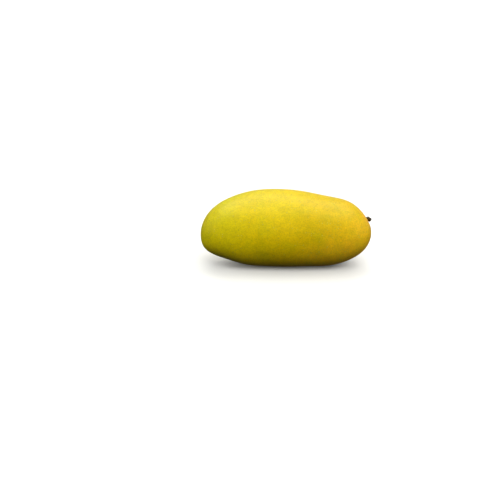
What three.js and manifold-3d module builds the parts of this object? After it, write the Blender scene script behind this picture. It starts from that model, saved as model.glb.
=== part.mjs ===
// A ripe oblong mango, whole, lying on its flatter side with the dry stub of its stalk still on.
//
// Frame: millimetres. The origin is the middle of the small flat spot the fruit rests on.
// +X runs along the fruit to its stalk end, +Y across it and +Z straight up.
//
// The skin is a unit sphere carried to its place by a few short formulas. The fruit is first
// shaped upright in its own axes: x from tip to stalk end, y from belly to back (the broad way)
// and z from cheek to cheek (the thin way). It is then rolled over onto its cheek.

import * as THREE from "three";
import { mergeVertices } from "three/addons/utils/BufferGeometryUtils.js";
import Module from "manifold-3d";

// ---- driving dimensions: the fruit ----
const LENGTH = 130;         // tip to stalk end
const BREADTH = 60;         // belly to back at the middle
const THICKNESS = 55;       // cheek to cheek at the middle
const END_FULLNESS = 0.27;  // how much blunter than an ellipsoid the two ends are
const SPINE_BOW = 3.8;      // rise of the middle of the spine towards the back
const SPINE_SWAY = 1.6;     // S-bend of the spine between the middle and the ends
const ROLL = 36;            // degrees that the broad way is tipped up from level
const PITCH = -0.8;         // degrees that the fruit is tipped end for end
const REST_DEPTH = 0.5;     // how far the soft skin is pressed flat by the fruit's own weight

// Swellings and dips of the skin. along: -1 at the tip, +1 at the stalk end. around: degrees
// from the line of the back. rise and reach: millimetres.
const SWELLINGS = {
  shoulder: { along: 0.80, around: 36, rise: 0.3, reach: 10 },
  stalk_slope: { along: 0.905, around: 36, rise: -1.3, reach: 8 },
  back_hollow: { along: 0.48, around: 36, rise: -1.5, reach: 13 },
  hump: { along: -0.20, around: 36, rise: 1.5, reach: 14 },
  sinus: { along: -0.70, around: 216, rise: -1.8, reach: 10 },
  beak: { along: -0.955, around: 205, rise: 0.7, reach: 5 },
  stalk_dip: { along: 0.965, around: 26, rise: -0.9, reach: 3.6 },
};

// ---- driving dimensions: the stalk stub ----
const STALK_SEAT = SWELLINGS.stalk_dip;  // the stub stands in the middle of this dip
const SOCKET_DEPTH = 1.6;   // how deep the stub's foot is let into the fruit
const SEAT_GAP = 0.3;       // clearance round the foot
const STUB_REACH = 1.5;     // from the skin straight out to the knuckle
const STUB_TAIL = 2.5;      // from the knuckle on to the broken end
const STUB_DROOP = 66;      // degrees that the tail bends down at the knuckle
const BEND_START = 0.6;     // where the bend begins, as a fraction of the way to the knuckle
const BEND_END = 0.45;      // where it ends, as a fraction of the tail
// Girth of the stub: fraction of its length from the foot, and radius in millimetres.
const STUB_GIRTH = [[0, 1.35], [0.16, 1.4], [0.36, 1.2], [0.54, 1.8], [0.66, 1.6], [0.8, 1.4], [0.93, 1.55]];
const BROKEN_END = 0.6;     // radius of the broken end over that of the last girth

// Scar of a lost side stalk. at: fraction of the stub's length. turn: degrees round it. forward:
// lean towards the broken end. The rim and the tip are narrower than the foot by these fractions.
const SPUR = { at: 0.57, radius: 0.75, length: 2.3, turn: 200, forward: 0.35 };
const SPUR_RIM = { at: 0.8, radius: 0.85 };
const SPUR_TIP = 0.5;

// ---- mesh fineness ----
const RINGS = 46;           // from stalk to tip
const STAVES = 60;          // round the fruit
const STUB_SIDES = 20;
const STUB_STEPS = 22;
const SAME_POINT = 1e-4;    // millimetres within which points count as one or as level

const radians = THREE.MathUtils.degToRad;
const wasm = await Module();
wasm.setup();

// Unit direction for a place on the fruit given by along and around.
function skinDirection({ along, around }) {
  const across = Math.sqrt(1 - along * along);
  return new THREE.Vector3(along, across * Math.cos(radians(around)), across * Math.sin(radians(around)));
}

// The plain fruit: an ellipsoid with fuller ends, its spine bowed and swayed towards the back.
function plainSkin(u) {
  const fullness = 1 + END_FULLNESS * u.x * u.x;
  const spine = SPINE_BOW * (1 - u.x * u.x) + SPINE_SWAY * (u.x ** 3 - u.x);
  return new THREE.Vector3(
    LENGTH / 2 * u.x,
    spine + BREADTH / 2 * u.y * fullness,
    THICKNESS / 2 * u.z * fullness,
  );
}

// Outward direction of the plain ellipsoid, used for every swelling and for the stalk.
function skinOutward(u) {
  return new THREE.Vector3(u.x / LENGTH, u.y / BREADTH, u.z / THICKNESS).normalize();
}

// The plain skin with each swelling added as a bell-shaped rise about its centre.
function skinPoint(u) {
  const plain = plainSkin(u);
  let rise = 0;
  for (const swelling of Object.values(SWELLINGS)) {
    const distance = plain.distanceTo(plainSkin(skinDirection(swelling)));
    rise += swelling.rise * Math.exp(-0.5 * (distance / swelling.reach) ** 2);
  }
  return plain.addScaledVector(skinOutward(u), rise);
}

// Applies a function from point to point to every vertex of a geometry.
function mapVertices(geometry, move) {
  const position = geometry.attributes.position;
  const point = new THREE.Vector3();
  for (let i = 0; i < position.count; i++) {
    point.fromBufferAttribute(position, i);
    const moved = move(point);
    position.setXYZ(i, moved.x, moved.y, moved.z);
  }
  return geometry;
}

// A closed three.js geometry as a solid for joining and cutting.
function toSolid(geometry) {
  const bare = geometry.clone();
  bare.deleteAttribute("normal");
  bare.deleteAttribute("uv");
  const merged = mergeVertices(bare, SAME_POINT);
  return new wasm.Manifold(new wasm.Mesh({
    numProp: 3,
    vertProperties: new Float32Array(merged.attributes.position.array),
    triVerts: new Uint32Array(merged.index.array),
  }));
}

// A solid as a three.js geometry again.
function toGeometry(solid) {
  const mesh = solid.getMesh();
  const geometry = new THREE.BufferGeometry();
  geometry.setAttribute("position", new THREE.BufferAttribute(new Float32Array(mesh.vertProperties), 3));
  geometry.setIndex(new THREE.BufferAttribute(new Uint32Array(mesh.triVerts), 1));
  geometry.computeVertexNormals();
  return geometry;
}

// Round profile turned about +Y from (distance, radius) pairs, closed on the axis at both ends.
function turned(pairs, sides) {
  const start = new THREE.Vector2(0, pairs[0][0]);
  const end = new THREE.Vector2(0, pairs[pairs.length - 1][0]);
  const outline = pairs.map(([distance, radius]) => new THREE.Vector2(radius, distance));
  return new THREE.LatheGeometry([start, ...outline, end], sides);
}

// Turns a solid made along +Y so that it runs from a point in a given direction.
function aimed(geometry, from, direction) {
  const turn = new THREE.Quaternion().setFromUnitVectors(new THREE.Vector3(0, 1, 0), direction);
  return geometry.applyQuaternion(turn).translate(from.x, from.y, from.z);
}

// The whole skin, its mesh drawn together round the stalk.
function fruitSkin() {
  const toStalk = new THREE.Quaternion().setFromUnitVectors(
    new THREE.Vector3(0, 1, 0), skinDirection(STALK_SEAT));
  const sphere = new THREE.SphereGeometry(1, STAVES, RINGS).applyQuaternion(toStalk);
  return mapVertices(sphere, (u) => skinPoint(u.normalize()));
}

// From the fruit's own axes to lying on its cheek.
const lieDown = new THREE.Matrix4()
  .makeRotationY(radians(PITCH))
  .multiply(new THREE.Matrix4().makeRotationX(radians(ROLL)));

// Everything below the resting level, as one block.
function tableBlock() {
  const side = LENGTH * 2;
  return new THREE.BoxGeometry(side, side, side).translate(0, 0, -side / 2);
}

// Middle of the flat patch left at level 0: the mean of its triangles' middles, by area.
function restingMiddle(geometry) {
  const position = geometry.attributes.position;
  const corners = [new THREE.Vector3(), new THREE.Vector3(), new THREE.Vector3()];
  const triangle = new THREE.Triangle(...corners);
  const middle = new THREE.Vector3();
  const sum = new THREE.Vector3();
  let area = 0;
  for (let i = 0; i < geometry.index.count; i += 3) {
    corners.forEach((corner, k) => corner.fromBufferAttribute(position, geometry.index.getX(i + k)));
    if (corners.every((corner) => Math.abs(corner.z) < SAME_POINT)) {
      triangle.getMidpoint(middle);
      sum.addScaledVector(middle, triangle.getArea());
      area += triangle.getArea();
    }
  }
  return sum.divideScalar(area);
}

// Centre line of the stub: straight out of the skin to the knuckle, then drooping to its end.
function stubCentreLine(foot, outward) {
  const knuckle = foot.clone().addScaledVector(outward, SOCKET_DEPTH + STUB_REACH);
  const levelAxis = new THREE.Vector3(0, 1, 0);
  const tail = outward.clone().applyAxisAngle(levelAxis, radians(STUB_DROOP));
  const end = knuckle.clone().addScaledVector(tail, STUB_TAIL);
  const bendStart = foot.clone().lerp(knuckle, BEND_START);
  const bendEnd = knuckle.clone().lerp(end, BEND_END);
  const line = new THREE.CurvePath();
  line.add(new THREE.LineCurve3(foot, bendStart));
  line.add(new THREE.QuadraticBezierCurve3(bendStart, knuckle, bendEnd));
  line.add(new THREE.LineCurve3(bendEnd, end));
  return line;
}

// The stub: a knuckled round profile carried along its centre line, with the side scar joined on.
function stalkStub(foot, outward) {
  const line = stubCentreLine(foot, outward);
  const girth = new THREE.CatmullRomCurve3(STUB_GIRTH.map(([at, r]) => new THREE.Vector3(at, r, 0)));
  const profile = girth.getPoints(STUB_STEPS).map((p) => [p.x, p.y]);
  profile.push([1, STUB_GIRTH[STUB_GIRTH.length - 1][1] * BROKEN_END]);
  const sideways = new THREE.Vector3(0, 1, 0);
  const body = mapVertices(turned(profile, STUB_SIDES), (p) => {
    const at = THREE.MathUtils.clamp(p.y, 0, 1);
    const ahead = line.getTangentAt(at);
    const side = sideways.clone().addScaledVector(ahead, -sideways.dot(ahead)).normalize();
    const up = side.clone().cross(ahead);
    return line.getPointAt(at).addScaledVector(side, p.x).addScaledVector(up, p.z);
  });
  return toSolid(body).add(toSolid(sideSpur(line)));
}

// The short blunt scar where a side stalk has dropped off.
function sideSpur(line) {
  const ahead = line.getTangentAt(SPUR.at);
  const level = new THREE.Vector3(0, 0, 1);
  const out = level.addScaledVector(ahead, -level.dot(ahead)).normalize();
  out.applyAxisAngle(ahead, radians(SPUR.turn)).addScaledVector(ahead, SPUR.forward).normalize();
  const profile = [
    [0, SPUR.radius],
    [SPUR.length * SPUR_RIM.at, SPUR.radius * SPUR_RIM.radius],
    [SPUR.length, SPUR.radius * SPUR_TIP],
  ];
  return aimed(turned(profile, STUB_SIDES / 2), line.getPointAt(SPUR.at), out);
}

// The hole that the stub's foot is seated in, cut clear of the stub by the gap.
function stalkSocket(foot, outward) {
  const radius = Math.max(...STUB_GIRTH.slice(0, 3).map(([, r]) => r)) + SEAT_GAP;
  const start = foot.clone().addScaledVector(outward, -SEAT_GAP);
  return aimed(turned([[0, radius], [SOCKET_DEPTH * 2, radius]], STUB_SIDES), start, outward);
}

// ---- put together ----
const skin = fruitSkin().applyMatrix4(lieDown);
skin.computeBoundingBox();
const drop = new THREE.Vector3(0, 0, -REST_DEPTH - skin.boundingBox.min.z);
skin.translate(drop.x, drop.y, drop.z);

const seatDirection = skinDirection(STALK_SEAT);
const stalkOutward = skinOutward(seatDirection).transformDirection(lieDown);
const stalkFoot = skinPoint(seatDirection).applyMatrix4(lieDown).add(drop)
  .addScaledVector(stalkOutward, -SOCKET_DEPTH);

const fruit = toGeometry(
  toSolid(skin).subtract(toSolid(tableBlock())).subtract(toSolid(stalkSocket(stalkFoot, stalkOutward))));
const stub = toGeometry(stalkStub(stalkFoot, stalkOutward));
const middle = restingMiddle(fruit);

const ripeSkin = new THREE.MeshStandardMaterial({ color: 0xd9b824, roughness: 0.5, metalness: 0 });
const dryStalk = new THREE.MeshStandardMaterial({ color: 0x3d3020, roughness: 0.85, metalness: 0 });

const mangoFruit = new THREE.Mesh(fruit, ripeSkin);
mangoFruit.name = "mango_fruit";
const stalk = new THREE.Mesh(stub, dryStalk);
stalk.name = "stem_stub";

const mango = new THREE.Group();
mango.add(mangoFruit, stalk);
mango.position.set(-middle.x, -middle.y, 0);

export default mango;
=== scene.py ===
"""A ripe oblong mango lying on its cheek, with the dry stub of its stalk, on a pale studio floor.

Everything is in metres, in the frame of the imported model. Sizes of the fruit are given in
millimetres as dataclass fields and turned to metres by MM. The fruit is shaped in its own axes,
x from tip to stalk end, y from belly to back and z from cheek to cheek, and then laid down.
"""

import logging
import math
from dataclasses import dataclass, field
from enum import Enum
from typing import Any

import bpy
import numpy as np
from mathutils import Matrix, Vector


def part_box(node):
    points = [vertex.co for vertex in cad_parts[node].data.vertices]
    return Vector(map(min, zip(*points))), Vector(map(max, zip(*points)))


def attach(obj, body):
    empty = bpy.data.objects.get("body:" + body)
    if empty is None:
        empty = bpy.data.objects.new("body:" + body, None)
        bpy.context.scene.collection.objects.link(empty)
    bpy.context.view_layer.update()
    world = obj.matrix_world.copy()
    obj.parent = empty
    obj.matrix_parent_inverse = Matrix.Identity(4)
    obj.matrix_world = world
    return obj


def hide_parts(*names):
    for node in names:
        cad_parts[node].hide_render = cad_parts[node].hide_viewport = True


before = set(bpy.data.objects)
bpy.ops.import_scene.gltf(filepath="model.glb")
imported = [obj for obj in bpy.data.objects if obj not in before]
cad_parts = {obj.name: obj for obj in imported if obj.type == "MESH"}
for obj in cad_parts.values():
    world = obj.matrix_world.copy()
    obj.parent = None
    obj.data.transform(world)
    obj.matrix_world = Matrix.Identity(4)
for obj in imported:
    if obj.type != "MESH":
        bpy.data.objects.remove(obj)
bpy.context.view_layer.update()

MM = 0.001
ROOT_BODY = "root"
CELL_JITTER = 0.9          # how far dots stray from the middles of their cells
DOT_EDGE = (-0.04, 0.06)   # the soft edge of a dot, in cell widths
log = logging.getLogger("mango")


class Node(Enum):
    """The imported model's nodes that pieces here stand for."""

    FRUIT = "mango_fruit"
    STALK = "stem_stub"


class Slot(Enum):
    """The record's material slots."""

    SKIN = "mango_skin"
    STALK = "dry_stalk"


class Mask(Enum):
    """Names of the fruit's own per-vertex values, each from 0 to 1."""

    RIPENESS_AND_PAINTED_TOP_LIGHT = "ripeness_and_painted_top_light"
    STALK_END = "stalk_end"
    CORK = "cork"
    TIP_SCAR = "tip_scar"


# ---------------------------------------------------------------- helpers

def linear(hex_colour: str, alpha: float = 1.0) -> tuple[float, float, float, float]:
    """Turns an sRGB hex colour to the linear values that shaders take.

    Args:
        hex_colour: six hex digits, red first, such as "e4c50a".
        alpha: the fourth value, passed through.

    Returns:
        Linear red, green, blue and alpha.
    """
    channels = [int(hex_colour[i:i + 2], 16) / 255 for i in (0, 2, 4)]
    lin = [c / 12.92 if c <= 0.04045 else ((c + 0.055) / 1.055) ** 2.4 for c in channels]
    return lin[0], lin[1], lin[2], alpha


def add_node(tree: bpy.types.NodeTree, kind: str, settings: dict[str, Any] | None = None,
             inputs: dict[Any, Any] | None = None) -> bpy.types.Node:
    """Adds one node with its settings, input values and links.

    Args:
        tree: the node tree to add to.
        kind: Blender's node type, such as "ShaderNodeTexNoise".
        settings: the node's own properties by name.
        inputs: by input name or index, a value, or an output socket to link from.

    Returns:
        The new node.
    """
    node = tree.nodes.new(kind)
    for name, value in (settings or {}).items():
        setattr(node, name, value)
    for key, value in (inputs or {}).items():
        if isinstance(value, bpy.types.NodeSocket):
            tree.links.new(value, node.inputs[key])
        else:
            node.inputs[key].default_value = value
    return node


def new_material(name: str) -> tuple[bpy.types.Material, bpy.types.NodeTree]:
    """Makes an empty node material.

    Args:
        name: the material's name.

    Returns:
        The material and its cleared node tree.
    """
    material = bpy.data.materials.new(name)
    material.use_nodes = True
    material.node_tree.nodes.clear()
    return material, material.node_tree


def mesh_object(name: str, points: np.ndarray, faces: list[list[int]]) -> bpy.types.Object:
    """Puts points and faces into a smooth-shaded mesh object at the origin.

    Args:
        name: the object's name.
        points: one row of x, y, z for each vertex, in metres.
        faces: vertex indices of each face, anticlockwise from outside.

    Returns:
        The object, linked to the scene.
    """
    mesh = bpy.data.meshes.new(name)
    mesh.from_pydata(points.tolist(), [], faces)
    mesh.polygons.foreach_set("use_smooth", np.ones(len(mesh.polygons), dtype=bool))
    mesh.update()
    piece = bpy.data.objects.new(name, mesh)
    bpy.context.scene.collection.objects.link(piece)
    return piece


def closed_grid_faces(rows: int, columns: int) -> list[list[int]]:
    """Faces of a grid that closes round its columns and is capped by one point at each end.

    The vertices are the first cap, then rows of the given number of columns, then the last cap.
    Each quad joins a row to the next, and a fan of triangles closes each end.

    Args:
        rows: number of rows between the two cap points.
        columns: number of vertices in a row.

    Returns:
        The faces, facing outwards where the columns turn clockwise about the way the rows run.
    """
    here = np.arange(columns)
    following = np.roll(here, -1)
    starts = 1 + columns * np.arange(rows - 1)[:, None]
    quads = np.stack([starts + here, starts + columns + here, starts + columns + following,
                      starts + following], -1).reshape(-1, 4)
    last = 1 + rows * columns
    first_fan = np.stack([np.zeros_like(here), 1 + here, 1 + following], -1)
    final_row = 1 + (rows - 1) * columns
    last_fan = np.stack([np.full_like(here, last), final_row + following, final_row + here], -1)
    return quads.tolist() + first_fan.tolist() + last_fan.tolist()


def bell(distance: np.ndarray, reach: float) -> np.ndarray:
    """A bell curve: 1 at distance 0, falling as exp of minus half the squared distance over reach."""
    return np.exp(-0.5 * (distance / reach) ** 2)


def smooth_step(value: np.ndarray, low: float, high: float) -> np.ndarray:
    """Rises from 0 at low to 1 at high along 3 t squared minus 2 t cubed."""
    t = np.clip((value - low) / (high - low), 0.0, 1.0)
    return t * t * (3 - 2 * t)


def unit(vectors: np.ndarray) -> np.ndarray:
    """Each vector divided by its length."""
    return vectors / np.linalg.norm(vectors, axis=-1, keepdims=True)


def turned_about(vectors: np.ndarray, axis: np.ndarray, angles: np.ndarray | float) -> np.ndarray:
    """Turns vectors about an axis by Rodrigues' formula.

    The part along the axis stays, and the part across it is turned: v cos a + (k x v) sin a +
    k (k . v)(1 - cos a).

    Args:
        vectors: rows of x, y, z.
        axis: the unit axis k.
        angles: the angle a in radians, one for all or one for each row.

    Returns:
        The turned vectors.
    """
    angle = np.asarray(angles)[..., None]
    along = (vectors @ axis)[..., None] * axis
    return vectors * np.cos(angle) + np.cross(axis, vectors) * np.sin(angle) + along * (1 - np.cos(angle))


def set_mask(piece: bpy.types.Object, mask: Mask, values: np.ndarray) -> None:
    """Stores one value for each vertex under the mask's name.

    Args:
        piece: the mesh object.
        mask: which value it is.
        values: one number for each vertex.
    """
    attribute = piece.data.attributes.new(mask.value, "FLOAT", "POINT")
    attribute.data.foreach_set("value", values.astype(np.float32))


# ---------------------------------------------------------------- finishes

@dataclass(frozen=True)
class WaxyMangoSkin:
    """Ripe mango skin, grown with a thin wax bloom: a soft broad sheen over a finely pored colour.

    The colour runs from yellow green at the tip to golden at the stalk end, and turns paler lemon
    on the upper side as painted highlight. Pale breathing pores and a few brown specks break it up.
    """

    tip_colour: str = "d5c60a"
    green_ripe: str = "e4c706"
    middle_colour: str = "dcba04"
    stalk_colour: str = "f0bf1a"
    green_patch: str = "bfba0c"
    blush: str = "f4a456"
    pore_colour: str = "f3e068"
    pore_ring: str = "a8a00c"
    speck_colour: str = "6b4f18"
    cork_colour: str = "8a6a3a"
    scar_colour: str = "4a3a1e"
    mottle_mm: float = 34.0      # breadth of the drifting patches of ripeness
    cloud_mm: float = 14.0       # breadth of the finer clouding
    dapple_mm: float = 4.5       # breadth of the faint dappling
    grain_mm: float = 0.95       # spacing of the skin's fine pebbling
    pore_spacing_mm: float = 2.0
    pore_radius_mm: float = 0.42
    speck_spacing_mm: float = 8.0
    speck_radius_mm: float = 0.55
    pore_share: float = 0.9      # part of the cells that hold a pore
    ring_width: float = 1.9      # a pore ring's radius over the pore's own
    ring_strength: float = 0.28
    pore_strength: float = 0.55
    sparse_share: float = 0.4    # part of the wide cells that hold a speck
    close_share: float = 0.45    # and of the narrow cells at the stalk end
    crowding: float = 3.0        # how many times closer the specks are there
    speck_strength: float = 0.6
    relief_mm: float = 0.12      # height of the pebbling
    pore_sink: float = 0.35      # how far the pores sink, as part of that height

    def material(self) -> bpy.types.Material:
        """Builds the skin's material from object coordinates and the fruit's masks.

        Returns:
            The material.
        """
        material, tree = new_material("waxy_mango_skin")
        place = add_node(tree, "ShaderNodeTexCoord").outputs["Object"]
        colour = self._ground_colour(tree, place)
        colour, pores = self._pores(tree, place, colour)
        colour = self._specks(tree, place, colour)
        colour = self._scars(tree, colour)
        dapple = self._noise(tree, place, self.dapple_mm, 3.0)
        colour = self._tint(tree, dapple, colour, 0.9, 1.06)
        grain = self._noise(tree, place, self.grain_mm, 2.0)
        colour = self._tint(tree, grain, colour, 0.82, 1.1)
        skin = add_node(tree, "ShaderNodeBsdfPrincipled", {}, {
            "Base Color": colour,
            "Roughness": 0.38,
            "IOR": 1.45,
            "Specular IOR Level": 0.28,
            "Specular Tint": linear("fff0bc"),
            "Sheen Weight": 0.02,
            "Sheen Roughness": 0.35,
            "Sheen Tint": linear("fff0c0"),
            "Subsurface Weight": 0.08,
            "Subsurface Radius": (1.0, 0.5, 0.1),
            "Subsurface Scale": 1.5 * MM,
            "Normal": self._relief(tree, grain, pores),
        })
        add_node(tree, "ShaderNodeOutputMaterial", {}, {"Surface": skin.outputs["BSDF"]})
        return material

    def _noise(self, tree: bpy.types.NodeTree, place: bpy.types.NodeSocket, size_mm: float,
               detail: float) -> bpy.types.NodeSocket:
        """Cloudy noise whose patches are about size_mm across."""
        noise = add_node(tree, "ShaderNodeTexNoise", {}, {
            "Vector": place, "Scale": 1 / (size_mm * MM), "Detail": detail, "Roughness": 0.55})
        return noise.outputs["Fac"]

    def _ramp(self, tree: bpy.types.NodeTree, value: bpy.types.NodeSocket,
              stops: list[tuple[float, str]]) -> bpy.types.NodeSocket:
        """Colour ramp through the given positions and hex colours."""
        ramp = add_node(tree, "ShaderNodeValToRGB", {}, {"Fac": value})
        elements = ramp.color_ramp.elements
        for extra in stops[2:]:
            elements.new(extra[0])
        for element, (position, hex_colour) in zip(elements, stops):
            element.position = position
            element.color = linear(hex_colour)
        return ramp.outputs["Color"]

    def _mask(self, tree: bpy.types.NodeTree, mask: Mask) -> bpy.types.NodeSocket:
        """The fruit's own value of that name."""
        return add_node(tree, "ShaderNodeAttribute", {"attribute_name": mask.value}).outputs["Fac"]

    def _fade(self, tree: bpy.types.NodeTree, value: bpy.types.NodeSocket, low: float, high: float,
              top: float) -> bpy.types.NodeSocket:
        """Smoothly maps value from low..high to 0..top."""
        fade = add_node(tree, "ShaderNodeMapRange", {"interpolation_type": "SMOOTHSTEP"}, {
            "Value": value, "From Min": low, "From Max": high, "To Min": 0.0, "To Max": top})
        return fade.outputs["Result"]

    def _blend(self, tree: bpy.types.NodeTree, amount: bpy.types.NodeSocket, under: Any,
               over: Any) -> bpy.types.NodeSocket:
        """Mixes the colour over onto the colour under by the amount."""
        mix = add_node(tree, "ShaderNodeMix", {"data_type": "RGBA"}, {0: amount, 6: under, 7: over})
        return mix.outputs[2]

    def _ground_colour(self, tree: bpy.types.NodeTree,
                       place: bpy.types.NodeSocket) -> bpy.types.NodeSocket:
        """Ripeness along the fruit, with a painted highlight that makes the upper side paler lemon, moved
        about by broad mottling, with faint green patches.
        """
        mottle = self._noise(tree, place, self.mottle_mm, 3.0)
        drift = add_node(tree, "ShaderNodeMath", {"operation": "MULTIPLY_ADD"}, {
            0: mottle, 1: 0.5, 2: -0.25}).outputs[0]
        ripe = add_node(tree, "ShaderNodeMath", {"operation": "ADD"}, {
            0: self._mask(tree, Mask.RIPENESS_AND_PAINTED_TOP_LIGHT), 1: drift}).outputs[0]
        colour = self._ramp(tree, ripe, [
            (0.04, self.tip_colour), (0.32, self.green_ripe), (0.6, self.middle_colour),
            (0.92, self.stalk_colour)])
        cloud = self._noise(tree, place, self.cloud_mm, 4.0)
        return self._blend(tree, self._fade(tree, cloud, 0.4, 0.8, 0.4), colour, linear(self.green_patch))

    def _dots(self, tree: bpy.types.NodeTree, place: bpy.types.NodeSocket, spacing_mm: float,
              radius_mm: float, share: float) -> bpy.types.NodeSocket:
        """Round dots, one near the middle of a given share of cells of the given spacing."""
        cells = add_node(tree, "ShaderNodeTexVoronoi", {"feature": "F1"}, {
            "Vector": place, "Scale": 1 / (spacing_mm * MM), "Randomness": CELL_JITTER})
        chance = add_node(tree, "ShaderNodeSeparateColor", {}, {
            "Color": cells.outputs["Color"]}).outputs[0]
        size = add_node(tree, "ShaderNodeMapRange", {}, {
            "Value": chance, "From Min": 1 - share, "From Max": 1.0,
            "To Min": 0.0, "To Max": radius_mm / spacing_mm}).outputs["Result"]
        inside = add_node(tree, "ShaderNodeMath", {"operation": "SUBTRACT"}, {
            0: size, 1: cells.outputs["Distance"]}).outputs[0]
        return self._fade(tree, inside, *DOT_EDGE, 1.0)

    def _pores(self, tree: bpy.types.NodeTree, place: bpy.types.NodeSocket,
               colour: bpy.types.NodeSocket) -> tuple[bpy.types.NodeSocket, bpy.types.NodeSocket]:
        """Pale breathing pores in greener rings: returns the colour, and their mask for the relief."""
        rings = self._dots(tree, place, self.pore_spacing_mm,
                           self.pore_radius_mm * self.ring_width, self.pore_share)
        faint = add_node(tree, "ShaderNodeMath", {"operation": "MULTIPLY"}, {
            0: rings, 1: self.ring_strength})
        colour = self._blend(tree, faint.outputs[0], colour, linear(self.pore_ring))
        pores = self._dots(tree, place, self.pore_spacing_mm, self.pore_radius_mm, self.pore_share)
        pale = add_node(tree, "ShaderNodeMath", {"operation": "MULTIPLY"}, {
            0: pores, 1: self.pore_strength})
        return self._blend(tree, pale.outputs[0], colour, linear(self.pore_colour)), pores

    def _specks(self, tree: bpy.types.NodeTree, place: bpy.types.NodeSocket,
                colour: bpy.types.NodeSocket) -> bpy.types.NodeSocket:
        """Scattered brown specks, closer together at the stalk end."""
        sparse = self._dots(tree, place, self.speck_spacing_mm, self.speck_radius_mm,
                            self.sparse_share)
        close = self._dots(tree, place, self.speck_spacing_mm / self.crowding, self.speck_radius_mm,
                           self.close_share)
        near_stalk = add_node(tree, "ShaderNodeMath", {"operation": "MULTIPLY"}, {
            0: close, 1: self._mask(tree, Mask.STALK_END)}).outputs[0]
        both = add_node(tree, "ShaderNodeMath", {"operation": "MAXIMUM"}, {0: sparse, 1: near_stalk})
        faint = add_node(tree, "ShaderNodeMath", {"operation": "MULTIPLY"}, {
            0: both.outputs[0], 1: self.speck_strength}).outputs[0]
        return self._blend(tree, faint, colour, linear(self.speck_colour))

    def _scars(self, tree: bpy.types.NodeTree, colour: bpy.types.NodeSocket) -> bpy.types.NodeSocket:
        """The warm blush and corky ring round the stalk, and the dry scar by the tip."""
        blush = self._fade(tree, self._mask(tree, Mask.STALK_END), 0.1, 1.0, 0.62)
        colour = self._blend(tree, blush, colour, linear(self.blush))
        cork = self._fade(tree, self._mask(tree, Mask.CORK), 0.1, 0.9, 0.8)
        colour = self._blend(tree, cork, colour, linear(self.cork_colour))
        scar = self._fade(tree, self._mask(tree, Mask.TIP_SCAR), 0.25, 0.8, 0.85)
        return self._blend(tree, scar, colour, linear(self.scar_colour))

    def _tint(self, tree: bpy.types.NodeTree, noise: bpy.types.NodeSocket,
              colour: bpy.types.NodeSocket, dark: float, light: float) -> bpy.types.NodeSocket:
        """Scales the colour from dark to light with the noise."""
        shade = add_node(tree, "ShaderNodeMapRange", {}, {
            "Value": noise, "From Min": 0.3, "From Max": 0.7, "To Min": dark, "To Max": light})
        tint = add_node(tree, "ShaderNodeVectorMath", {"operation": "SCALE"}, {
            0: colour, "Scale": shade.outputs["Result"]})
        return tint.outputs[0]

    def _relief(self, tree: bpy.types.NodeTree, grain: bpy.types.NodeSocket,
                pores: bpy.types.NodeSocket) -> bpy.types.NodeSocket:
        """Fine pebbling with the pores sunk a little into it."""
        height = add_node(tree, "ShaderNodeMath", {"operation": "MULTIPLY_ADD"}, {
            0: pores, 1: -self.pore_sink, 2: grain}).outputs[0]
        bump = add_node(tree, "ShaderNodeBump", {}, {
            "Strength": 0.5, "Distance": self.relief_mm * MM, "Height": height})
        return bump.outputs["Normal"]


@dataclass(frozen=True)
class DryStalkBark:
    """Dried mango stalk: dark brown wrinkled bark, matt, a little paler where it is worn."""

    bark: str = "362b17"
    worn: str = "705c36"
    streak_mm: float = 0.5

    def material(self) -> bpy.types.Material:
        """Builds the bark's material from object coordinates.

        Returns:
            The material.
        """
        material, tree = new_material("dry_stalk_bark")
        place = add_node(tree, "ShaderNodeTexCoord").outputs["Object"]
        flecks = add_node(tree, "ShaderNodeTexNoise", {}, {
            "Vector": place, "Scale": 1 / (self.streak_mm * MM), "Detail": 4.0}).outputs["Fac"]
        shade = add_node(tree, "ShaderNodeMapRange", {"interpolation_type": "SMOOTHSTEP"}, {
            "Value": flecks, "From Min": 0.45, "From Max": 0.75}).outputs["Result"]
        colour = add_node(tree, "ShaderNodeMix", {"data_type": "RGBA"}, {
            0: shade, 6: linear(self.bark), 7: linear(self.worn)}).outputs[2]
        bump = add_node(tree, "ShaderNodeBump", {}, {
            "Strength": 0.6, "Distance": 0.1 * MM, "Height": flecks}).outputs["Normal"]
        bark = add_node(tree, "ShaderNodeBsdfPrincipled", {}, {
            "Base Color": colour, "Roughness": 0.85, "IOR": 1.5, "Normal": bump})
        add_node(tree, "ShaderNodeOutputMaterial", {}, {"Surface": bark.outputs["BSDF"]})
        return material


@dataclass(frozen=True)
class OpalBoard:
    """White opal acrylic lit a little from below: matt and even, so it shows only soft shadows."""

    colour: str = "f2f2ee"
    glow: float = 0.05
    tooth_mm: float = 0.8

    def material(self) -> bpy.types.Material:
        """Builds the board's material.

        Returns:
            The material.
        """
        material, tree = new_material("white_opal_board")
        place = add_node(tree, "ShaderNodeTexCoord").outputs["Object"]
        tooth = add_node(tree, "ShaderNodeTexNoise", {}, {
            "Vector": place, "Scale": 1 / (self.tooth_mm * MM)}).outputs["Fac"]
        bump = add_node(tree, "ShaderNodeBump", {}, {
            "Strength": 0.05, "Distance": 0.05 * MM, "Height": tooth}).outputs["Normal"]
        board = add_node(tree, "ShaderNodeBsdfPrincipled", {}, {
            "Base Color": linear(self.colour), "Roughness": 0.8, "IOR": 1.49,
            "Specular IOR Level": 0.2, "Emission Color": linear("ffffff"),
            "Emission Strength": self.glow, "Normal": bump})
        add_node(tree, "ShaderNodeOutputMaterial", {}, {"Surface": board.outputs["BSDF"]})
        return material


# ---------------------------------------------------------------- the fruit

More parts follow.
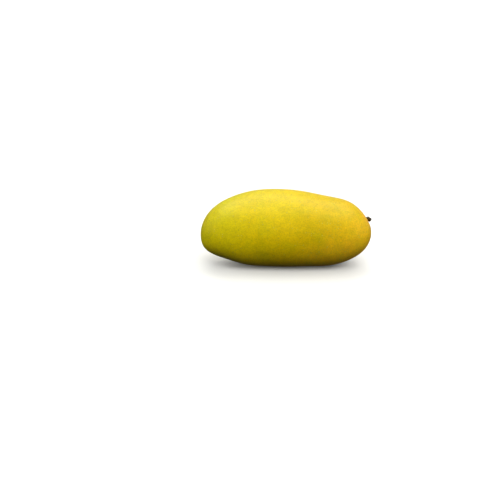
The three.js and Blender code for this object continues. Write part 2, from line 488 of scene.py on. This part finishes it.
@dataclass(frozen=True)
class Swelling:
    """A bell-shaped rise or dip of the skin.

    along runs from -1 at the tip to +1 at the stalk end, around is in degrees from the line of
    the back, and rise and reach are in millimetres.
    """

    along: float
    around: float
    rise: float
    reach: float

    def direction(self) -> np.ndarray:
        """The unit direction of its centre in the fruit's own axes."""
        across = math.sqrt(1 - self.along ** 2)
        turn = math.radians(self.around)
        return np.array([self.along, across * math.cos(turn), across * math.sin(turn)])


@dataclass
class MangoFruit:
    """The fruit's skin: one closed surface from the stalk to the tip."""

    length: float = 130.0
    breadth: float = 60.0
    thickness: float = 55.0
    end_fullness: float = 0.27
    spine_bow: float = 3.8
    spine_sway: float = 1.6
    roll: float = 36.0
    pitch: float = -0.8
    stalk_dip: Swelling = Swelling(0.965, 26, -0.9, 3.6)
    beak: Swelling = Swelling(-0.955, 205, 0.7, 5)
    others: tuple[Swelling, ...] = (
        Swelling(0.80, 36, 0.3, 10),     # shoulder
        Swelling(0.905, 36, -1.3, 8),    # slope from the shoulder to the stalk
        Swelling(0.48, 36, -1.5, 13),    # hollow of the back
        Swelling(-0.20, 36, 1.5, 14),    # hump
        Swelling(-0.70, 216, -1.8, 10),  # sinus above the beak
    )
    lumps: int = 9                       # slow waves that keep the skin from being perfect
    lump_rise: float = 0.09
    socket_radius: float = 1.75
    socket_depth: float = 1.3
    crease_depth: float = 0.22
    creases: int = 7
    painted_top_highlight: float = 0.14              # painted highlight: how much paler lemon the upper side is made
    wave_seed: int = 11
    shortest_wave: float = 25.0
    longest_wave: float = 60.0
    crease_ring: float = 3.4             # how far from the stalk the creases lie
    crease_reach: float = 1.5
    lip_inside: float = 0.25             # the socket's soft rim, either side of its radius
    lip_outside: float = 0.45
    press_softness: float = 0.12         # how softly the flat spot runs into the cheek
    ring_gather: float = 1.35            # how strongly the rings draw together at the stalk
    blush_reach: float = 9.0
    cork_reach: float = 1.9
    scar_reach: float = 0.9
    rings: int = 224
    staves: int = 440
    finish: WaxyMangoSkin = field(default_factory=WaxyMangoSkin)
    shift: np.ndarray = field(default_factory=lambda: np.zeros(3))

    def plain_skin(self, u: np.ndarray) -> np.ndarray:
        """The plain fruit in millimetres, from unit directions.

        x is half the length times ux. y and z are half the breadth and thickness times uy and uz,
        made fuller by (1 + fullness ux squared). The spine adds bow (1 - ux squared) and sway
        (ux cubed - ux) to y.
        """
        x, y, z = u[..., 0], u[..., 1], u[..., 2]
        full = 1 + self.end_fullness * x * x
        spine = self.spine_bow * (1 - x * x) + self.spine_sway * (x ** 3 - x)
        return np.stack([self.length / 2 * x, spine + self.breadth / 2 * y * full,
                         self.thickness / 2 * z * full], -1)

    def outward(self, u: np.ndarray) -> np.ndarray:
        """The plain ellipsoid's outward direction: each part of u over its own axis, made unit."""
        return unit(u / np.array([self.length, self.breadth, self.thickness]))

    def lay_down(self, points: np.ndarray) -> np.ndarray:
        """Rolls the fruit about x onto its cheek and then pitches it about y."""
        rolled = turned_about(points, np.array([1.0, 0, 0]), math.radians(self.roll))
        return turned_about(rolled, np.array([0, 1.0, 0]), math.radians(self.pitch))

    def waves(self, points: np.ndarray) -> np.ndarray:
        """Sum of slow sine waves in fixed random directions, 25 to 60 mm long."""
        draw = np.random.default_rng(self.wave_seed)
        ways = unit(draw.normal(size=(self.lumps, 3)))
        lengths = draw.uniform(self.shortest_wave, self.longest_wave, self.lumps)
        starts = draw.uniform(0, 2 * np.pi, self.lumps)
        phases = points @ (ways * (2 * np.pi / lengths)[:, None]).T + starts
        return self.lump_rise * np.sin(phases).sum(-1)

    def collar(self, offset: np.ndarray) -> np.ndarray:
        """Radial creases and the socket round the stalk.

        The creases are a bell about 3.4 mm out, times a cosine of the angle about the stalk. The
        socket drops by its depth inside its radius.

        Args:
            offset: rows of x, y, z from the stalk's seat, in millimetres.

        Returns:
            The rise at each row, below zero for a dip.
        """
        ahead = self.outward(self.stalk_dip.direction())
        side = unit(np.cross(ahead, np.array([0, 0, 1.0])))
        up = np.cross(ahead, side)
        distance = np.linalg.norm(offset, axis=-1)
        angle = np.arctan2(offset @ up, offset @ side)
        wave = 0.5 + 0.5 * np.cos(self.creases * angle + 0.9 * np.sin(2 * angle))
        crease = -self.crease_depth * bell(distance - self.crease_ring, self.crease_reach) * wave
        socket = -self.socket_depth * (1 - smooth_step(distance, self.socket_radius - self.lip_inside,
                                                       self.socket_radius + self.lip_outside))
        return crease + socket

    def skin(self, u: np.ndarray, with_collar: bool = True) -> np.ndarray:
        """The plain skin, with swellings, slow waves and collar pushed out along its outward way."""
        plain = self.plain_skin(u)
        rise = self.waves(plain)
        for swelling in (self.stalk_dip, self.beak, *self.others):
            centre = self.plain_skin(swelling.direction())
            rise = rise + swelling.rise * bell(np.linalg.norm(plain - centre, axis=-1), swelling.reach)
        if with_collar:
            rise = rise + self.collar(plain - self.plain_skin(self.stalk_dip.direction()))
        return plain + self.outward(u) * rise[..., None]

    def directions(self) -> np.ndarray:
        """Unit directions of the grid, drawn together round the stalk.

        The angle from the stalk is pi times v to the power 1.35, so the rings are closest there,
        and each ring goes once round the stalk's direction.
        """
        pole = self.stalk_dip.direction()
        side = unit(np.cross(np.array([0, 0, 1.0]), pole))
        up = np.cross(pole, side)
        v = np.arange(1, self.rings + 1) / (self.rings + 1)
        away = (np.pi * v ** self.ring_gather)[:, None, None]
        turn = np.linspace(0, 2 * np.pi, self.staves, endpoint=False)[None, :, None]
        body = np.cos(away) * pole + np.sin(away) * (np.cos(turn) * side + np.sin(turn) * up)
        return np.concatenate([pole[None], body.reshape(-1, 3), -pole[None]])

    def seat(self) -> tuple[np.ndarray, np.ndarray]:
        """Where the stalk leaves the skin, and which way: a point in millimetres and a unit vector."""
        u = self.stalk_dip.direction()
        point = self.lay_down(self.skin(u, with_collar=False)) + self.shift
        return point, self.lay_down(self.outward(u))

    def build(self) -> bpy.types.Object:
        """Makes the skin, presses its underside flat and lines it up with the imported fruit.

        Returns:
            The fruit's object.
        """
        low, high = (np.array(corner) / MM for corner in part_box(Node.FRUIT.value))
        u = self.directions()
        points = self.lay_down(self.skin(u))
        middle = (points.min(0) + points.max(0)) / 2
        self.shift = np.array([*((low + high) / 2 - middle)[:2], high[2] - points[:, 2].max()])
        points = points + self.shift
        pressed = points[:, 2] - low[2]
        points[:, 2] = low[2] + 0.5 * (pressed + np.sqrt(pressed ** 2 + self.press_softness ** 2))
        points[:, 2] -= points[:, 2].min() - low[2]
        piece = mesh_object("mango_skin_surface", points * MM,
                            closed_grid_faces(self.rings, self.staves))
        self._masks(piece, u)
        return piece

    def _masks(self, piece: bpy.types.Object, u: np.ndarray) -> None:
        """Stores how far each point has ripened, with painted highlight making the upper side paler
        lemon, and how near to the stalk and to the tip's scar.
        """
        plain = self.plain_skin(u)
        from_stalk = np.linalg.norm(plain - self.plain_skin(self.stalk_dip.direction()), axis=-1)
        from_scar = np.linalg.norm(plain - self.plain_skin(self.beak.direction()), axis=-1)
        upward = self.lay_down(self.outward(u))[:, 2]
        # painted highlight: the upward term shifts the upper side towards paler lemon, as light from
        # above shows it
        set_mask(piece, Mask.RIPENESS_AND_PAINTED_TOP_LIGHT, 0.5 + 0.5 * u[:, 0] - self.painted_top_highlight * upward)
        set_mask(piece, Mask.STALK_END, bell(from_stalk, self.blush_reach))
        set_mask(piece, Mask.CORK, bell(from_stalk, self.cork_reach))
        set_mask(piece, Mask.TIP_SCAR, bell(from_scar, self.scar_reach))

    def dress(self, piece: bpy.types.Object) -> None:
        """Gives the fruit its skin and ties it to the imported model."""
        piece.data.materials.append(self.finish.material())
        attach(piece, ROOT_BODY)
        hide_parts(Node.FRUIT.value)


# ---------------------------------------------------------------- the stalk stub

@dataclass
class StalkStub:
    """The dry stub of the stalk: a knuckled, ridged rod that droops past its knuckle."""

    fruit: MangoFruit
    foot_depth: float = 1.6
    reach: float = 1.5
    tail: float = 2.5
    droop: float = 66.0
    girth: tuple[tuple[float, float], ...] = (
        (0.0, 1.35), (0.16, 1.4), (0.36, 1.2), (0.54, 1.8),
        (0.66, 1.6), (0.8, 1.4), (0.94, 1.55), (1.0, 1.2))
    girth_blur: int = 4                  # rings either side over which the girth is evened
    knuckle_half: float = 0.2            # half the part of the length that the bend takes
    spur_at: float = 0.57
    spur_turn: float = 200.0
    spur_rise: float = 1.3
    spur_reach: float = 0.7
    ridges: int = 9
    ridge_rise: float = 0.055            # these rises are parts of the radius
    fine_ridges: int = 17
    fine_ridge_rise: float = 0.03
    wrinkle_rise: float = 0.035
    steps: int = 110
    sides: int = 96
    finish: DryStalkBark = field(default_factory=DryStalkBark)

    def centre_line(self, at: np.ndarray) -> tuple[np.ndarray, np.ndarray]:
        """The stub's middle line and its direction at each fraction of its length.

        The direction turns from straight out of the skin to the drooped one by a smooth step
        about the knuckle, and the line is that direction summed up along the length.
        """
        foot, outward = self.fruit.seat()
        total = self.foot_depth + self.reach + self.tail
        knuckle = (self.foot_depth + self.reach) / total
        bend = math.radians(self.droop) * smooth_step(at, knuckle - self.knuckle_half,
                                                      knuckle + self.knuckle_half)
        ahead = turned_about(np.broadcast_to(outward, (len(at), 3)), np.array([0, 1.0, 0]), bend)
        stride = np.diff(at, prepend=0.0)[:, None] * total
        return foot - outward * self.foot_depth + np.cumsum(ahead * stride, axis=0), ahead

    def build(self) -> bpy.types.Object:
        """Carries the ridged profile along the middle line.

        The radius is the girth at that fraction, made rough by lengthwise ridges, cross wrinkles
        and the bell-shaped scar of a side stalk. The two ends close in over a few rings.

        Returns:
            The stub's object.
        """
        at = np.linspace(0, 1, self.steps)
        turn = np.linspace(0, 2 * np.pi, self.sides, endpoint=False)
        line, ahead = self.centre_line(at)
        side = unit(np.array([0, 1.0, 0]) - ahead * ahead[:, 1:2])
        up = np.cross(side, ahead)
        radius = np.interp(at, *zip(*self.girth))
        window = 2 * self.girth_blur + 1
        radius = np.convolve(np.pad(radius, self.girth_blur, mode="edge"), np.ones(window) / window,
                             mode="valid")[:, None]
        ridge = self.ridge_rise * np.cos(self.ridges * turn + 5 * at[:, None])
        ridge = ridge + self.fine_ridge_rise * np.cos(self.fine_ridges * turn - 9 * at[:, None])
        wrinkle = self.wrinkle_rise * np.sin(52 * at[:, None] + 2.2 * np.sin(3 * turn))
        swirl = (turn[None] - math.radians(self.spur_turn) + np.pi) % (2 * np.pi) - np.pi
        total = self.foot_depth + self.reach + self.tail
        scar_distance = np.hypot(swirl * 1.7, (at[:, None] - self.spur_at) * total)
        radius = radius * (1 + ridge + wrinkle) + self.spur_rise * bell(scar_distance, self.spur_reach)
        around = np.cos(turn)[None, :, None] * side[:, None] + np.sin(turn)[None, :, None] * up[:, None]
        walls = line[:, None] + around * radius[..., None]
        inner = [0.82, 0.5, 0.2]
        rough = 0.12 * np.cos(3 * turn + 1)[:, None] + 0.1 * np.cos(5 * turn)[:, None]
        end_rings = [line[-1] + around[-1] * radius[-1][:, None] * k
                     + ahead[-1] * (0.25 * (1 - k) + rough * k) for k in inner]
        foot_rings = [line[0] + around[0] * radius[0][:, None] * k for k in inner[::-1]]
        rows = np.concatenate([np.stack(foot_rings), walls, np.stack(end_rings)])
        points = np.concatenate([line[:1], rows.reshape(-1, 3), line[-1:] + ahead[-1:] * 0.15])
        return mesh_object("stalk_stub_bark", points * MM, closed_grid_faces(len(rows), self.sides))

    def dress(self, piece: bpy.types.Object) -> None:
        """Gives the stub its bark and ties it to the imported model."""
        piece.data.materials.append(self.finish.material())
        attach(piece, ROOT_BODY)
        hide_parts(Node.STALK.value)


# ---------------------------------------------------------------- the studio

@dataclass(frozen=True)
class BroadLight:
    """A far, very large diffuser that leaves no highlight: where it is, how strong and how wide."""

    name: str
    azimuth: float
    elevation: float
    strength: float
    spread: float = 50.0


@dataclass(frozen=True)
class Softbox:
    """A lit panel overhead: where it is, its sides in metres, and whether it fills or only shines."""

    name: str
    azimuth: float
    elevation: float
    length: float
    depth: float
    power: float
    fills: bool
    shines: bool


@dataclass
class Studio:
    """A pale floor, soft light from above and in front, and the camera."""

    floor_side: float = 8.0
    elevation: float = 18.0
    distance: float = 0.9
    lens_mm: float = 84.9
    aim_left: float = 0.0273     # how far left of the fruit's middle the camera is centred
    aim_down: float = 0.0173     # and how far below it
    sky: float = 0.26
    broad_lights: tuple[BroadLight, ...] = (
        BroadLight("front_key", 4, 46, 1.95),
        BroadLight("right_fill", 84, 24, 1.05),
        BroadLight("left_fill", -95, 26, 0.95),
        BroadLight("back_fill", 178, 34, 1.1),
    )
    softboxes: tuple[Softbox, ...] = (
        Softbox("top_fill_softbox", 158, 66, 1.9, 0.9, 7.0, True, False),
        Softbox("top_sheen_softbox", 165, 84, 2.2, 1.5, 30.0, False, True),
    )
    light_distance: float = 1.3
    finish: OpalBoard = field(default_factory=OpalBoard)

    def build_floor(self) -> bpy.types.Object:
        """A flat square floor under the fruit."""
        half = self.floor_side / 2
        corners = np.array([[-half, -half, 0], [half, -half, 0], [half, half, 0], [-half, half, 0]])
        floor = mesh_object("studio_floor", corners, [[0, 1, 2, 3]])
        floor.data.materials.append(self.finish.material())
        floor.visible_diffuse = False
        floor.visible_glossy = False
        return floor

    def build_sky(self) -> None:
        """An even pale sky that fades to dark below the floor, with a white backdrop in view."""
        world = bpy.data.worlds.new("studio_sky")
        world.use_nodes = True
        tree = world.node_tree
        tree.nodes.clear()
        up = add_node(tree, "ShaderNodeSeparateXYZ", {}, {
            "Vector": add_node(tree, "ShaderNodeTexCoord").outputs["Generated"]}).outputs["Z"]
        level = add_node(tree, "ShaderNodeMapRange", {"interpolation_type": "SMOOTHSTEP"}, {
            "Value": up, "From Min": -0.15, "From Max": 0.15, "To Min": 0.02, "To Max": self.sky})
        sky = add_node(tree, "ShaderNodeBackground", {}, {
            "Color": linear("ffffff"), "Strength": level.outputs["Result"]})
        backdrop = add_node(tree, "ShaderNodeBackground", {}, {"Color": linear("ffffff")})
        seen = add_node(tree, "ShaderNodeMixShader", {}, {
            0: add_node(tree, "ShaderNodeLightPath").outputs["Is Camera Ray"],
            1: sky.outputs["Background"], 2: backdrop.outputs["Background"]})
        add_node(tree, "ShaderNodeOutputWorld", {}, {"Surface": seen.outputs["Shader"]})
        bpy.context.scene.world = world

    def aimed_lamp(self, name: str, kind: str, azimuth: float, elevation: float) -> bpy.types.Object:
        """Hangs a light that faces the fruit, at the studio's light distance.

        Args:
            name: the light's name.
            kind: Blender's light type.
            azimuth: degrees round from the camera's side, positive to the right.
            elevation: degrees above level.

        Returns:
            The lamp, whose light is still to be given size and strength.
        """
        a, e = math.radians(azimuth), math.radians(elevation)
        way = Vector((math.sin(a) * math.cos(e), -math.cos(a) * math.cos(e), math.sin(e)))
        light = bpy.data.lights.new(name, kind)
        lamp = bpy.data.objects.new(name, light)
        lamp.location = way * self.light_distance
        lamp.rotation_euler = way.to_track_quat("Z", "Y").to_euler()
        bpy.context.scene.collection.objects.link(lamp)
        return lamp

    def build_lights(self) -> None:
        """Broad even lights from all round, and softboxes overhead for the sheen along the top."""
        for broad in self.broad_lights:
            lamp = self.aimed_lamp(broad.name, "SUN", broad.azimuth, broad.elevation)
            lamp.visible_glossy = False
            lamp.data.energy = broad.strength
            lamp.data.angle = math.radians(broad.spread)
        for box in self.softboxes:
            lamp = self.aimed_lamp(box.name, "AREA", box.azimuth, box.elevation)
            lamp.visible_diffuse = box.fills
            lamp.visible_glossy = box.shines
            lamp.data.shape = "RECTANGLE"
            lamp.data.size = box.length
            lamp.data.size_y = box.depth
            lamp.data.energy = box.power

    def build_camera(self) -> None:
        """The camera, looking along +Y and down by the elevation, level across."""
        low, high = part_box(Node.FRUIT.value)
        e = math.radians(self.elevation)
        back = Vector((0, -math.cos(e), math.sin(e)))
        up = Vector((0, math.sin(e), math.cos(e)))
        target = (Vector(low) + Vector(high)) / 2 - Vector((self.aim_left, 0, 0)) - up * self.aim_down
        data = bpy.data.cameras.new("studio_camera")
        data.lens = self.lens_mm
        camera = bpy.data.objects.new("studio_camera", data)
        camera.location = target + back * self.distance
        camera.rotation_euler = back.to_track_quat("Z", "Y").to_euler()
        bpy.context.scene.collection.objects.link(camera)
        bpy.context.scene.camera = camera


# ---------------------------------------------------------------- put together


def main() -> None:
    """Builds the pieces in order and reports each one."""
    logging.basicConfig(level=logging.INFO, format="%(name)s: %(message)s")
    bpy.context.scene.view_settings.view_transform = "Standard"
    studio = Studio()
    studio.build_camera()
    studio.build_sky()
    studio.build_lights()
    floor = studio.build_floor()
    log.info("studio ready, floor %s", floor.name)
    fruit = MangoFruit()
    stub = StalkStub(fruit)
    for maker in (fruit, stub):
        piece = maker.build()
        maker.dress(piece)
        log.info("%s: %d faces", piece.name, len(piece.data.polygons))


if __name__ == "__main__":
    main()
